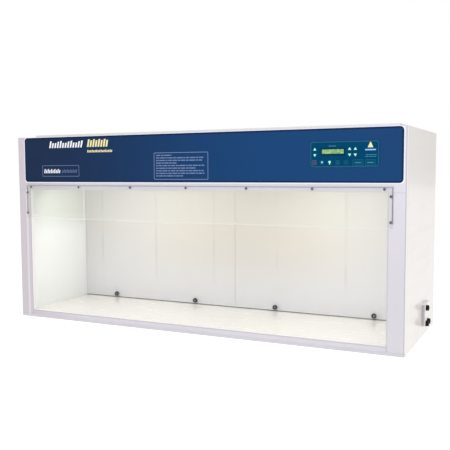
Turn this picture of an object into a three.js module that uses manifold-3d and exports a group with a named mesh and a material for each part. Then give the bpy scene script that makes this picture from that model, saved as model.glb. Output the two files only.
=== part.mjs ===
// Bench-top filtered workstation cabinet: an open-fronted chamber with a clear fixed visor,
// swing-out rear baffles, a rear air plenum, and lamps, filters and fans above the chamber.
// Millimetres. +Z is up, the open front faces -Y, and the origin is the middle of the underside.
import * as THREE from 'three';
import { mergeVertices } from 'three/addons/utils/BufferGeometryUtils.js';
import Module from 'manifold-3d';

const wasm = await Module();
wasm.setup();

// ---- Driving dimensions ----

// Cabinet envelope
const width = 1829;
const depth = 635;
const height = 855;
const left = -width / 2;
const right = width / 2;
const front = -depth / 2;
const back = depth / 2;

// Sheet and board thicknesses
const skin = 3;
const sideThickness = 20;
const frameDepth = 20;
const rearCoverDepth = 24;
const touchGap = 0.3;

// Levels above the bench
const baseTop = 12;
const floorTop = 27;
const frontRailTop = 34;
const headerBottom = 610;
const ceilingBottom = 637;
const filterShelf = 690;
const deckTop = 852;
const exhaustTop = 868;

// Inside faces that the other pieces are set out from
const innerX = right - sideThickness;
const frameBack = front + frameDepth;
const rearSeam = back - rearCoverDepth;

// Front frame
const postWidth = 68;
const postInner = right - postWidth;

// Fascia label and the controls set into it
const label = { x0: -874, x1: 903, z0: 646, z1: 852, thick: 1.5, corner: 15 };
const overlay = { x0: 547, x1: 813.5, z0: 705, z1: 803, thick: 2.5, corner: 10 };
const display = { x0: 591, x1: 682, z0: 751, z1: 775.5, recess: 1, clearance: 0.5 };
const keyPocketDepth = 1.8;
const keyThickness = 1.2;
const keyProud = 0.4;
const keyClearance = 0.3;
const arrowKeySize = 17;
const iconKeySize = 20;
const iconRowZ = 723;
const arrowUpZ = 773;
const arrowDownZ = 751.5;

// Visor
const visor = { halfWidth: 867, bottom: 476, top: 632, thick: 5 };
const gasketWidth = 4.5;
const gasketThickness = 1.5;
const gasketBottom = 494;

// Rear baffles, their hinge rod and their thumb knobs
const baffleFace = 162.5;
const baffleThickness = 2.5;
const baffleBottom = 30;
const baffleSideGap = 1;
const hookInner = 3.8;
const rodRadius = 3;
const rodZ = 612;
const rodY = baffleFace + baffleThickness + hookInner;
const hookEndAngle = -30;
const hangerHalfWidth = 4;
const hookNotch = 12;
const knobX = [-692.5, -219.5, 211.5, 685];
const knobZ = 46;
const knobRadius = 11.5;
const knobShankRadius = 3;
const baffleHoleRadius = 4;
const baffleRail = { y0: 170, depth: 26, z0: 36, z1: 58, thick: 2, holeRadius: 3.8 };

// Filters and fans, one of each on either side of the middle
const filter = { x: 450, y: -40, length: 800, depth: 400, height: 68, rim: 20, recess: 4 };
const prefilterHeight = 12;
const filterRailLeg = 32;
const partitionY = 182;
const fan = { x: 450, y: -40, size: 200, height: 60, bore: 88, armWidth: 8, armHeight: 6 };
const motor = { radius: 36, height: 38, shaftRadius: 3, shaftLength: 11 };
const impeller = { hub: 42, hubHeight: 10, tip: 84, blades: 7, chord: 30, thick: 2, pitch: 35, bore: 3.5 };
const hubGap = 2;

// Exhaust cover on the deck
const exhaust = { halfWidth: 871.5, y0: -242.5, y1: 205, skin: 2 };
const slot = { width: 8, length: 300, pitch: 20, count: 18 };

// Lamps under the ceiling
const lampLength = 1149;
const lampZ = 623;
const whiteLampY = -260;
const uvLampY = -215;
const tubeRadius = 8;
const capRadius = 8.4;
const capLength = 20;
const holder = { thick: 22, y0: -285, y1: -190, bottom: 612 };

// Service box on the right-hand side panel, with its three round fittings
const serviceBox = { y0: 27.5, y1: 137.5, z0: 42, z1: 141, proud: 15, corner: 17 };
const fittingRadius = 12.5;
const fittingLength = 12;
const fittings = [{ y: 45, z: 123 }, { y: 43, z: 58 }, { y: 79, z: 61 }];

// ---- Finishes ----

const finish = (color, roughness, metalness = 0) => ({ color, roughness, metalness });
const framePaint = finish(0xd9d5e2, 0.45);
const sideWhite = finish(0xece8e3, 0.35);
const floorWhite = finish(0xf4f2ea, 0.12);
const bafflePaint = finish(0xdcdad0, 0.3);
const plainSteel = finish(0xb9bcc0, 0.35, 0.9);
const blackPlastic = finish(0x1c1c1f, 0.5);
const gasketGrey = finish(0xb5afbc, 0.7);
const knobPlastic = finish(0x2b2b2f, 0.55);
const labelBlue = finish(0x243f6b, 0.4);
const overlayTeal = finish(0x00506e, 0.35);
const keyTeal = finish(0x0a5e78, 0.4);
const displayGreen = finish(0x8cbe50, 0.2);
const clearSheet = finish(0xf2f6f4, 0.05);
const boardGreen = finish(0x1d5c3a, 0.6);
const filterGrey = finish(0x8f9396, 0.9);
const padWhite = finish(0xe6e8e6, 1);
const lampGlass = finish(0xfbfbf7, 0.2);
const uvGlass = finish(0xcfd6ee, 0.1);

// ---- Geometry helpers ----

function boxBetween(x0, x1, y0, y1, z0, z1) {
  const geometry = new THREE.BoxGeometry(x1 - x0, y1 - y0, z1 - z0);
  return geometry.translate((x0 + x1) / 2, (y0 + y1) / 2, (z0 + z1) / 2);
}

function outline(points) {
  return new THREE.Shape(points.map(([a, b]) => new THREE.Vector2(a, b)));
}

function roundedRectangle(a0, a1, b0, b1, radius) {
  const shape = new THREE.Shape();
  shape.absarc(a1 - radius, b0 + radius, radius, -Math.PI / 2, 0);
  shape.absarc(a1 - radius, b1 - radius, radius, 0, Math.PI / 2);
  shape.absarc(a0 + radius, b1 - radius, radius, Math.PI / 2, Math.PI);
  shape.absarc(a0 + radius, b0 + radius, radius, Math.PI, Math.PI * 1.5);
  return shape;
}

function extrudeAlong(shape, length, axes, origin, curveSegments = 3) {
  const geometry = new THREE.ExtrudeGeometry(shape, { depth: length, bevelEnabled: false, curveSegments });
  const turn = new THREE.Matrix4().makeBasis(...axes.map((axis) => new THREE.Vector3(...axis)));
  return geometry.applyMatrix4(turn).translate(...origin);
}

// A section drawn in (y, z), run from x0 to x1
function alongX(shape, x0, x1) {
  return extrudeAlong(shape, x1 - x0, [[0, 1, 0], [0, 0, 1], [1, 0, 0]], [x0, 0, 0]);
}

// A face drawn in (x, z), run from y0 to y1
function alongY(shape, y0, y1) {
  return extrudeAlong(shape, y1 - y0, [[1, 0, 0], [0, 0, 1], [0, -1, 0]], [0, y1, 0]);
}

// A plan drawn in (x, y), run from z0 to z1
function alongZ(shape, z0, z1) {
  return extrudeAlong(shape, z1 - z0, [[1, 0, 0], [0, 1, 0], [0, 0, 1]], [0, 0, z0]);
}

// A turned piece: profile of [radius, distance along the axis], starting and ending on the axis
function turned(profile, segments, axis, position) {
  const points = profile.map(([radius, along]) => new THREE.Vector2(radius, along));
  const geometry = new THREE.LatheGeometry(points, segments);
  const toAxis = new THREE.Quaternion().setFromUnitVectors(new THREE.Vector3(0, 1, 0), axis);
  return geometry.applyQuaternion(toAxis).translate(...position);
}

const axisX = new THREE.Vector3(1, 0, 0);
const axisY = new THREE.Vector3(0, 1, 0);
const axisZ = new THREE.Vector3(0, 0, 1);

// A plain round pin or drill, centred on a point
function pin(radius, length, axis, position, segments = 16) {
  const half = length / 2;
  return turned([[0, -half], [radius, -half], [radius, half], [0, half]], segments, axis, position);
}

function solid(geometry) {
  const bare = geometry.index ? geometry.toNonIndexed() : geometry.clone();
  bare.deleteAttribute('normal');
  bare.deleteAttribute('uv');
  const merged = mergeVertices(bare, 1e-4);
  return new wasm.Manifold(new wasm.Mesh({
    numProp: 3,
    vertProperties: new Float32Array(merged.attributes.position.array),
    triVerts: new Uint32Array(merged.index.array),
  }));
}

function surface(body) {
  const mesh = body.getMesh();
  const geometry = new THREE.BufferGeometry();
  geometry.setAttribute('position', new THREE.BufferAttribute(new Float32Array(mesh.vertProperties), 3));
  geometry.setIndex(new THREE.BufferAttribute(new Uint32Array(mesh.triVerts), 1));
  geometry.computeVertexNormals();
  return geometry;
}

function cut(blank, ...tools) {
  return surface(tools.reduce((body, tool) => body.subtract(solid(tool)), solid(blank)));
}

function join(first, ...others) {
  return surface(others.reduce((body, other) => body.add(solid(other)), solid(first)));
}

const cabinet = new THREE.Group();

function addPart(name, geometry, look) {
  const mesh = new THREE.Mesh(geometry, new THREE.MeshStandardMaterial(look));
  mesh.name = name;
  cabinet.add(mesh);
}

// ---- Base and chamber floor ----

// Pressed pan: a thin deck with a skirt and ribs underneath. It is wider under the front posts.
function basePan() {
  const plan = outline([
    [left, front], [right, front], [right, frameBack], [innerX, frameBack],
    [innerX, rearSeam], [-innerX, rearSeam], [-innerX, frameBack], [left, frameBack],
  ]);
  const rib = 14;
  const columns = 4;
  const rows = 2;
  const bayX = (2 * innerX - rib) / columns;
  const bayY = (rearSeam - frameBack - rib) / rows;
  const pockets = [];
  for (let column = 0; column < columns; column += 1) {
    for (let row = 0; row < rows; row += 1) {
      const x0 = -innerX + rib + column * bayX;
      const y0 = frameBack + rib + row * bayY;
      pockets.push(boxBetween(x0, x0 + bayX - rib, y0, y0 + bayY - rib, -1, baseTop - skin));
    }
  }
  return cut(alongZ(plan, 0, baseTop), ...pockets);
}

addPart('base_pan', basePan(), framePaint);
addPart('work_surface', boxBetween(-innerX, innerX, frameBack, rearSeam, baseTop, floorTop), floorWhite);

// ---- Front frame: two posts, a bottom rail and a header tray ----

function rectangularTube(a0, a1, b0, b1) {
  const shape = outline([[a0, b0], [a1, b0], [a1, b1], [a0, b1]]);
  shape.holes.push(outline([
    [a0 + skin, b0 + skin], [a0 + skin, b1 - skin], [a1 - skin, b1 - skin], [a1 - skin, b0 + skin],
  ]));
  return shape;
}

addPart('left_post', alongZ(rectangularTube(left, -postInner, front, frameBack), baseTop, headerBottom), framePaint);
addPart('right_post', alongZ(rectangularTube(postInner, right, front, frameBack), baseTop, headerBottom), framePaint);
addPart('front_rail', alongX(rectangularTube(front, frameBack, baseTop, frontRailTop), -postInner, postInner), framePaint);

function displayCutout(y0, y1) {
  const c = display.clearance;
  return boxBetween(display.x0 - c, display.x1 + c, y0, y1, display.z0 - c, display.z1 + c);
}

addPart('header_panel', cut(
  boxBetween(left, right, front, frameBack, headerBottom, height),
  boxBetween(left + skin, right - skin, front + skin, frameBack + 1, headerBottom + skin, height - skin),
  displayCutout(front - 1, front + skin + 1),
), framePaint);

// ---- Casing: sides, back, deck and chamber ceiling ----

addPart('left_side_panel', boxBetween(left, -innerX, frameBack, rearSeam, 0, height), sideWhite);
addPart('right_side_panel', boxBetween(innerX, right, frameBack, rearSeam, 0, height), sideWhite);

addPart('rear_cover', cut(
  boxBetween(left, right, rearSeam, back, 0, height),
  boxBetween(left + skin, right - skin, rearSeam - 1, back - skin, skin, height - skin),
), sideWhite);

addPart('top_deck', cut(
  boxBetween(-innerX, innerX, frameBack, rearSeam, deckTop - skin, deckTop),
  pin(fan.bore, 4 * skin, axisZ, [-fan.x, fan.y, deckTop], 24),
  pin(fan.bore, 4 * skin, axisZ, [fan.x, fan.y, deckTop], 24),
), sideWhite);

addPart('chamber_ceiling', boxBetween(
  -innerX, innerX, frameBack, partitionY, ceilingBottom, ceilingBottom + skin,
), sideWhite);

// Raised cover over the fan outlets. It lifts off the deck, and its two slotted fields let the air out.
function exhaustCover() {
  const { halfWidth, y0, y1 } = exhaust;
  const wall = exhaust.skin;
  const middleY = (y0 + y1) / 2;
  const tools = [boxBetween(-halfWidth + wall, halfWidth - wall, y0 + wall, y1 - wall, deckTop - 1, exhaustTop - wall)];
  for (const side of [-1, 1]) {
    for (let index = 0; index < slot.count; index += 1) {
      const x = side * fan.x + (index - (slot.count - 1) / 2) * slot.pitch;
      tools.push(boxBetween(
        x - slot.width / 2, x + slot.width / 2,
        middleY - slot.length / 2, middleY + slot.length / 2,
        exhaustTop - 2 * wall, exhaustTop + 1,
      ));
    }
  }
  return cut(boxBetween(-halfWidth, halfWidth, y0, y1, deckTop + touchGap, exhaustTop), ...tools);
}

addPart('exhaust_cover', exhaustCover(), sideWhite);

// ---- Fascia label, controller and keys ----

const labelFace = front - label.thick;
const overlayFace = front - overlay.thick;

addPart('fascia_label', cut(
  alongY(roundedRectangle(label.x0, label.x1, label.z0, label.z1, label.corner), labelFace, front),
  alongY(roundedRectangle(
    overlay.x0 - touchGap, overlay.x1 + touchGap, overlay.z0 - touchGap, overlay.z1 + touchGap, overlay.corner,
  ), labelFace - 1, front + 1),
), labelBlue);

const keys = [
  { name: 'power_key', x: 564, z: iconRowZ, w: iconKeySize, h: iconKeySize },
  { name: 'uv_key', x: 594.5, z: iconRowZ, w: iconKeySize, h: iconKeySize },
  { name: 'lamp_key', x: 624.5, z: iconRowZ, w: iconKeySize, h: iconKeySize },
  { name: 'fan_key', x: 656, z: iconRowZ, w: iconKeySize, h: iconKeySize },
  { name: 'timer_key', x: 688, z: iconRowZ, w: iconKeySize, h: iconKeySize },
  { name: 'mute_key', x: 734.5, z: iconRowZ - 1.5, w: 42, h: 25 },
  { name: 'enter_key', x: 782, z: iconRowZ - 1.5, w: 40, h: 25 },
];
for (const [column, x] of [['left', 565.5], ['middle', 702], ['right', 724]]) {
  keys.push({ name: `${column}_up_key`, x, z: arrowUpZ, w: arrowKeySize, h: arrowKeySize });
  keys.push({ name: `${column}_down_key`, x, z: arrowDownZ, w: arrowKeySize, h: arrowKeySize });
}

function keyShape(key, margin) {
  const halfW = key.w / 2 + margin;
  const halfH = key.h / 2 + margin;
  return roundedRectangle(key.x - halfW, key.x + halfW, key.z - halfH, key.z + halfH, 3);
}

addPart('keypad_overlay', cut(
  alongY(roundedRectangle(overlay.x0, overlay.x1, overlay.z0, overlay.z1, overlay.corner), overlayFace, front),
  displayCutout(overlayFace - 1, front + 1),
  ...keys.map((key) => alongY(keyShape(key, keyClearance), overlayFace - 1, overlayFace + keyPocketDepth)),
), overlayTeal);

for (const key of keys) {
  const keyFace = overlayFace - keyProud;
  addPart(key.name, alongY(keyShape(key, 0), keyFace, keyFace + keyThickness), keyTeal);
}

// The display glass looks out through the header and the overlay; its board hangs behind the header.
const moduleBack = front + skin + 8;
addPart('lcd_module', join(
  boxBetween(display.x0, display.x1, overlayFace + display.recess, front + skin + 1, display.z0, display.z1),
  boxBetween(display.x0 - 11, display.x1 + 11, front + skin, moduleBack, display.z0 - 9, display.z1 + 8.5),
), displayGreen);
addPart('controller_board', boxBetween(
  overlay.x0 + 10, overlay.x1 - 10, moduleBack, moduleBack + 1.6, overlay.z0 + 8, overlay.z1 - 8,
), boardGreen);

// ---- Visor ----

const gasketFace = front - gasketThickness;
addPart('visor_gasket', alongY(outline([
  [-visor.halfWidth, gasketBottom], [-visor.halfWidth + gasketWidth, gasketBottom],
  [-visor.halfWidth + gasketWidth, visor.top - gasketWidth],
  [visor.halfWidth - gasketWidth, visor.top - gasketWidth],
  [visor.halfWidth - gasketWidth, gasketBottom], [visor.halfWidth, gasketBottom],
  [visor.halfWidth, visor.top], [-visor.halfWidth, visor.top],
]), gasketFace, front), gasketGrey);
addPart('visor', boxBetween(
  -visor.halfWidth, visor.halfWidth, gasketFace - visor.thick, gasketFace, visor.bottom, visor.top,
), clearSheet);

// ---- Rear baffles: each hangs by a rolled hook on the rod and is held at the foot by two knobs ----

function baffleSection() {
  const outer = hookInner + baffleThickness;
  const end = THREE.MathUtils.degToRad(hookEndAngle);
  const shape = new THREE.Shape();
  shape.moveTo(baffleFace, baffleBottom);
  shape.lineTo(baffleFace, rodZ);
  shape.absarc(rodY, rodZ, outer, Math.PI, end, true);
  shape.absarc(rodY, rodZ, hookInner, end, Math.PI, false);
  shape.lineTo(baffleFace + baffleThickness, baffleBottom);
  return shape;
}

function baffle(side) {
  const x0 = side < 0 ? -innerX + baffleSideGap : baffleSideGap / 2;
  const x1 = side < 0 ? -baffleSideGap / 2 : innerX - baffleSideGap;
  const sheet = extrudeAlong(baffleSection(), x1 - x0, [[0, 1, 0], [0, 0, 1], [1, 0, 0]], [x0, 0, 0], 8);
  const notch = boxBetween(-hookNotch, hookNotch, baffleFace - 1, rodY + 20, rodZ - 14, rodZ + 20);
  const holes = knobX.filter((x) => x * side > 0)
    .map((x) => pin(baffleHoleRadius, 10, axisY, [x, baffleFace, knobZ]));
  return cut(sheet, notch, ...holes);
}

addPart('left_baffle', baffle(-1), bafflePaint);
addPart('right_baffle', baffle(1), bafflePaint);

addPart('baffle_hinge_rod', join(
  pin(rodRadius, 2 * innerX, axisX, [0, rodY, rodZ], 12),
  boxBetween(-hangerHalfWidth, hangerHalfWidth, rodY - 6, rodY + 6, rodZ - 6, ceilingBottom),
), plainSteel);

const railShape = outline([
  [baffleRail.y0, baffleRail.z0], [baffleRail.y0 + baffleRail.thick, baffleRail.z0],
  [baffleRail.y0 + baffleRail.thick, baffleRail.z1 - baffleRail.thick],
  [baffleRail.y0 + baffleRail.depth, baffleRail.z1 - baffleRail.thick],
  [baffleRail.y0 + baffleRail.depth, baffleRail.z1], [baffleRail.y0, baffleRail.z1],
]);
addPart('baffle_rail', cut(
  alongX(railShape, -innerX, innerX),
  ...knobX.map((x) => pin(baffleRail.holeRadius, 10, axisY, [x, baffleRail.y0, knobZ])),
), plainSteel);

// Captive thumb knob: grip, collar and shank, turned about the axis that points to the back
const knobBack = baffleFace - touchGap;
const knobProfile = [
  [0, -14], [knobRadius - 3, -14], [knobRadius, -11.5], [knobRadius, -5],
  [knobRadius - 2, -3.5], [7, -3], [7, 0], [knobShankRadius, 0], [knobShankRadius, 14], [0, 14],
];
knobX.forEach((x, index) => {
  addPart(`baffle_knob_${index + 1}`, turned(knobProfile, 16, axisY, [x, knobBack, knobZ]), knobPlastic);
});

// ---- Filters on their rails ----

const railTop = filterShelf;
addPart('front_filter_rail', alongX(outline([
  [frameBack, railTop - 27], [frameBack + skin, railTop - 27], [frameBack + skin, railTop - skin],
  [filter.y - filter.depth / 2 + 12, railTop - skin], [filter.y - filter.depth / 2 + 12, railTop],
  [frameBack, railTop],
]), -innerX, innerX), plainSteel);
addPart('rear_filter_rail', alongX(outline([
  [partitionY - filterRailLeg, railTop - skin], [partitionY, railTop - skin],
  [partitionY, deckTop - skin], [partitionY - skin, deckTop - skin],
  [partitionY - skin, railTop], [partitionY - filterRailLeg, railTop],
]), -innerX, innerX), plainSteel);

function filterBox(centreX, z0, z1) {
  return boxBetween(
    centreX - filter.length / 2, centreX + filter.length / 2,
    filter.y - filter.depth / 2, filter.y + filter.depth / 2, z0, z1,
  );
}

function filterRecess(centreX, z0, z1) {
  const halfLength = filter.length / 2 - filter.rim;
  const halfDepth = filter.depth / 2 - filter.rim;
  return boxBetween(centreX - halfLength, centreX + halfLength, filter.y - halfDepth, filter.y + halfDepth, z0, z1);
}

for (const [side, name] of [[-1, 'left'], [1, 'right']]) {
  const centreX = side * filter.x;
  const filterBottom = railTop + prefilterHeight;
  const filterTop = filterBottom + filter.height;
  addPart(`${name}_prefilter`, filterBox(centreX, railTop, filterBottom), padWhite);
  addPart(`${name}_filter`, cut(
    filterBox(centreX, filterBottom, filterTop),
    filterRecess(centreX, filterBottom - 1, filterBottom + filter.recess),
    filterRecess(centreX, filterTop - filter.recess, filterTop + 1),
  ), filterGrey);
}

// ---- Fans: housing with a cross of arms, motor hung from the cross, impeller on its shaft ----

const fanTop = deckTop - skin;
const motorTop = fanTop - fan.armHeight;
const motorBottom = motorTop - motor.height;
const hubTop = motorBottom - hubGap;

function fanHousing(x) {
  const half = fan.size / 2;
  const z0 = fanTop - fan.height;
  const shell = solid(boxBetween(x - half, x + half, fan.y - half, fan.y + half, z0, fanTop))
    .subtract(solid(pin(fan.bore, 3 * fan.height, axisZ, [x, fan.y, fanTop], 24)));
  const arm = fan.armWidth / 2;
  const reach = fan.bore + 4;
  return surface(shell
    .add(solid(boxBetween(x - reach, x + reach, fan.y - arm, fan.y + arm, motorTop, fanTop)))
    .add(solid(boxBetween(x - arm, x + arm, fan.y - reach, fan.y + reach, motorTop, fanTop))));
}

function fanMotor(x) {
  return turned([
    [0, -motor.height - motor.shaftLength], [motor.shaftRadius, -motor.height - motor.shaftLength],
    [motor.shaftRadius, -motor.height], [motor.radius, -motor.height], [motor.radius, 0], [0, 0],
  ], 20, axisZ, [x, fan.y, motorTop]);
}

function fanImpeller(x) {
  const middleZ = hubTop - impeller.hubHeight / 2;
  const inner = impeller.hub - 1.5;
  const span = impeller.tip - inner;
  let body = solid(pin(impeller.hub, impeller.hubHeight, axisZ, [x, fan.y, middleZ], 28));
  for (let index = 0; index < impeller.blades; index += 1) {
    const blade = new THREE.BoxGeometry(span, impeller.chord, impeller.thick);
    blade.rotateX(THREE.MathUtils.degToRad(impeller.pitch));
    blade.translate(inner + span / 2, 0, 0);
    blade.rotateZ((2 * Math.PI * index) / impeller.blades);
    body = body.add(solid(blade.translate(x, fan.y, middleZ)));
  }
  const bore = pin(impeller.bore, 3 * impeller.hubHeight, axisZ, [x, fan.y, middleZ]);
  return surface(body.subtract(solid(bore)));
}

for (const [side, name] of [[-1, 'left'], [1, 'right']]) {
  addPart(`${name}_fan_housing`, fanHousing(side * fan.x), blackPlastic);
  addPart(`${name}_fan_motor`, fanMotor(side * fan.x), plainSteel);
  addPart(`${name}_fan_impeller`, fanImpeller(side * fan.x), blackPlastic);
}

// ---- Lamps ----

function lampTube(y) {
  const half = lampLength / 2;
  return turned([
    [0, -half], [capRadius, -half], [capRadius, -half + capLength], [tubeRadius, -half + capLength],
    [tubeRadius, half - capLength], [capRadius, half - capLength], [capRadius, half], [0, half],
  ], 14, axisX, [0, y, lampZ]);
}

addPart('white_lamp', lampTube(whiteLampY), lampGlass);
addPart('uv_lamp', lampTube(uvLampY), uvGlass);

function lampHolder(side) {
  const near = side * (lampLength / 2 + touchGap);
  const far = near + side * holder.thick;
  const face = roundedRectangle(holder.y0, holder.y1, holder.bottom, ceilingBottom, 6);
  return alongX(face, Math.min(near, far), Math.max(near, far));
}

addPart('left_lamp_holder', lampHolder(-1), sideWhite);
addPart('right_lamp_holder', lampHolder(1), sideWhite);
addPart('lamp_ballast', boxBetween(-420, -140, -280, -230, ceilingBottom + skin, ceilingBottom + skin + 36), plainSteel);

// ---- Service box and fittings ----

const serviceFace = right + serviceBox.proud;
addPart('service_box', alongX(roundedRectangle(
  serviceBox.y0, serviceBox.y1, serviceBox.z0, serviceBox.z1, serviceBox.corner,
), right, serviceFace), sideWhite);

const fittingProfile = [
  [0, 0], [fittingRadius, 0], [fittingRadius, 4], [fittingRadius - 2, 5],
  [fittingRadius - 2.5, fittingLength - 2], [fittingRadius - 4, fittingLength],
  [4, fittingLength], [4, fittingLength - 8], [0, fittingLength - 8],
];
fittings.forEach(({ y, z }, index) => {
  addPart(`service_fitting_${index + 1}`, turned(fittingProfile, 16, axisX, [serviceFace, y, z]), blackPlastic);
});

export default cabinet;
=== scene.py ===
import math
import bmesh
import bpy
from mathutils import Matrix, Vector


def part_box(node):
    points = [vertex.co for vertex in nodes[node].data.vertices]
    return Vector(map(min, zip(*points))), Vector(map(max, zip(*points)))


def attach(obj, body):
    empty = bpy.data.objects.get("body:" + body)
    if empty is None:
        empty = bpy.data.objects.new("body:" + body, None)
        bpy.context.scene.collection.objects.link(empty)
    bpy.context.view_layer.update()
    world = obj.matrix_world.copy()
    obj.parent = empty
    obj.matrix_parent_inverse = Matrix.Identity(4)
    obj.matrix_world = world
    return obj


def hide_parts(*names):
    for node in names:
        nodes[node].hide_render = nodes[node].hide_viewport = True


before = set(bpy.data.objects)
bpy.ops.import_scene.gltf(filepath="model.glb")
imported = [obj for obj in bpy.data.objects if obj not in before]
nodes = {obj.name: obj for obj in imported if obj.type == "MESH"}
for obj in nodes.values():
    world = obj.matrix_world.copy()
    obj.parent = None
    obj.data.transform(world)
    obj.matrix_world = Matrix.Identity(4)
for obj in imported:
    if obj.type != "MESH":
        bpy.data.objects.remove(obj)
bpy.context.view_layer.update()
print("frame loaded:", len(nodes), "CAD nodes")

bpy.context.scene.view_settings.view_transform = "Standard"


# camera

camera = {
    "place": (1.4235, -2.8679, 0.6906),
    "turnLeft": 26.0,     # degrees from looking straight at the back
    "tiltDown": 4.42,
    "roll": -0.28,
    "lens": 55.34,
    "sensor": 36,
}


def makeCamera(settings):
    turn = math.radians(settings["turnLeft"])
    tilt = -math.radians(settings["tiltDown"])
    roll = math.radians(settings["roll"])
    ahead = Vector((-math.sin(turn) * math.cos(tilt), math.cos(turn) * math.cos(tilt), math.sin(tilt)))
    level = Vector((math.cos(turn), math.sin(turn), 0))
    upright = level.cross(ahead)
    side = math.cos(roll) * level + math.sin(roll) * upright
    up = -math.sin(roll) * level + math.cos(roll) * upright
    data = bpy.data.cameras.new("viewCamera")
    data.lens = settings["lens"]
    data.sensor_width = settings["sensor"]
    cameraObject = bpy.data.objects.new("viewCamera", data)
    bpy.context.scene.collection.objects.link(cameraObject)
    turned = Matrix((side, up, -ahead)).transposed().to_4x4()
    cameraObject.matrix_world = Matrix.Translation(settings["place"]) @ turned
    bpy.context.scene.camera = cameraObject


makeCamera(camera)
print("camera placed")


# shader writing

class Wire:
    # one output of a shader node; sums on it add Math nodes
    def __init__(self, tree, socket):
        self.tree = tree
        self.socket = socket

    def sum(self, operation, *values):
        node = self.tree.nodes.new("ShaderNodeMath")
        node.operation = operation
        for index, value in enumerate(values):
            if isinstance(value, Wire):
                self.tree.links.new(value.socket, node.inputs[index])
            else:
                node.inputs[index].default_value = value
        return Wire(self.tree, node.outputs[0])

    def __add__(self, other):
        return self.sum("ADD", self, other)

    def __sub__(self, other):
        return self.sum("SUBTRACT", self, other)

    def __rsub__(self, other):
        return self.sum("SUBTRACT", other, self)

    def __mul__(self, other):
        return self.sum("MULTIPLY", self, other)

    def __truediv__(self, other):
        return self.sum("DIVIDE", self, other)

    def __mod__(self, other):
        return self.sum("FLOORED_MODULO", self, other)

    def __lt__(self, other):
        return self.sum("LESS_THAN", self, other)

    def __gt__(self, other):
        return self.sum("GREATER_THAN", self, other)

    def __abs__(self):
        return self.sum("ABSOLUTE", self)

    __radd__ = __add__
    __rmul__ = __mul__

    def clamped(self):
        return self.sum("MINIMUM", self.sum("MAXIMUM", self, 0.0), 1.0)


class Finish:
    # a material built round one Principled shader, with places read in the cabinet's own frame
    def __init__(self, name, **constants):
        self.material = bpy.data.materials.new(name)
        self.material.use_nodes = True
        self.tree = self.material.node_tree
        self.tree.nodes.clear()
        self.shader = self.tree.nodes.new("ShaderNodeBsdfPrincipled")
        output = self.tree.nodes.new("ShaderNodeOutputMaterial")
        self.tree.links.new(self.shader.outputs[0], output.inputs["Surface"])
        self.place = self.node("ShaderNodeTexCoord", output="Object")
        self.x, self.y, self.z = self.parts(self.place)
        self.made(**constants)

    def made(self, **values):
        for key, value in values.items():
            self.set(key, value)
        return self.material

    def node(self, kind, settings=None, inputs=None, output=0):
        made = self.tree.nodes.new(kind)
        for key, value in (settings or {}).items():
            if key == "stops":
                self.setStops(made.color_ramp, value)
            else:
                setattr(made, key, value)
        for key, value in (inputs or {}).items():
            if isinstance(value, Wire):
                self.tree.links.new(value.socket, made.inputs[key])
            else:
                made.inputs[key].default_value = value
        return Wire(self.tree, made.outputs[output])

    def setStops(self, ramp, stops):
        while len(ramp.elements) < len(stops):
            ramp.elements.new(0.5)
        for element, (position, colour) in zip(ramp.elements, stops):
            element.position = position
            element.color = (*colour, 1)

    def parts(self, vector):
        split = self.tree.nodes.new("ShaderNodeSeparateXYZ")
        self.tree.links.new(vector.socket, split.inputs[0])
        return [Wire(self.tree, split.outputs[index]) for index in range(3)]

    def set(self, key, value):
        # names of Principled sockets are written without spaces: baseColor, coatWeight, normal
        name = "".join(" " + letter if letter.isupper() else letter for letter in key).title()
        name = name.replace("Ior", "IOR")
        if isinstance(value, Wire):
            self.tree.links.new(value.socket, self.shader.inputs[name])
        elif isinstance(value, tuple) and len(value) == 3:
            self.shader.inputs[name].default_value = (*value, 1)
        else:
            self.shader.inputs[name].default_value = value

    def noise(self, size, detail=2.0, roughness=0.5, stretch=(1, 1, 1), shift=(0, 0, 0)):
        # size is the width of one blotch in metres
        placed = self.node("ShaderNodeVectorMath", {"operation": "MULTIPLY_ADD"},
                           {0: self.place, 1: stretch, 2: shift})
        return self.node("ShaderNodeTexNoise", None,
                         {"Vector": placed, "Scale": 1 / size, "Detail": detail, "Roughness": roughness})

    def ramp(self, value, low, high):
        # 0 below low, 1 above high, smooth between
        return self.node("ShaderNodeMapRange", {"interpolation_type": "SMOOTHSTEP"},
                         {"Value": value, "From Min": low, "From Max": high})

    def mix(self, share, first, second):
        # the Mix node keeps one pair of sockets for each kind of value: 6 and 7 are its colours
        colours = [c if isinstance(c, Wire) else (*c, 1) for c in (first, second)]
        return self.node("ShaderNodeMix", {"data_type": "RGBA"},
                         {0: share, 6: colours[0], 7: colours[1]}, output=2)

    def bump(self, height, depth, strength=1.0):
        # depth is the real height in metres between height 0 and height 1
        self.set("normal", self.node("ShaderNodeBump", None,
                                     {"Height": height, "Distance": depth, "Strength": strength}))


def tone(red, green, blue):
    # screen values 0 to 255 as linear light
    def linear(value):
        share = value / 255
        return share / 12.92 if share <= 0.04045 else ((share + 0.055) / 1.055) ** 2.4
    return tuple(linear(value) for value in (red, green, blue))


# finishes

def orangePeel(coat, roughness=0.42):
    # semi-gloss powder coat: fine orange peel and faint handling marks, with a slow drift of tone
    drift = coat.noise(0.35, 3)
    peel = coat.noise(0.0022, 1)
    marks = coat.ramp(coat.noise(0.03, 5, 0.65, (1, 1, 0.4)), 0.56, 0.72)
    coat.set("roughness", roughness + 0.10 * marks + 0.05 * drift)
    coat.set("coatWeight", 0.2 - 0.12 * marks)
    coat.bump(peel, 0.00012, 0.35)
    return drift, marks


def powderCoat(name, colour, shade):
    coat = Finish(name, coatRoughness=0.25)
    drift, marks = orangePeel(coat)
    return coat.made(baseColor=coat.mix(drift * 0.6 + marks * 0.12, colour, shade))


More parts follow.
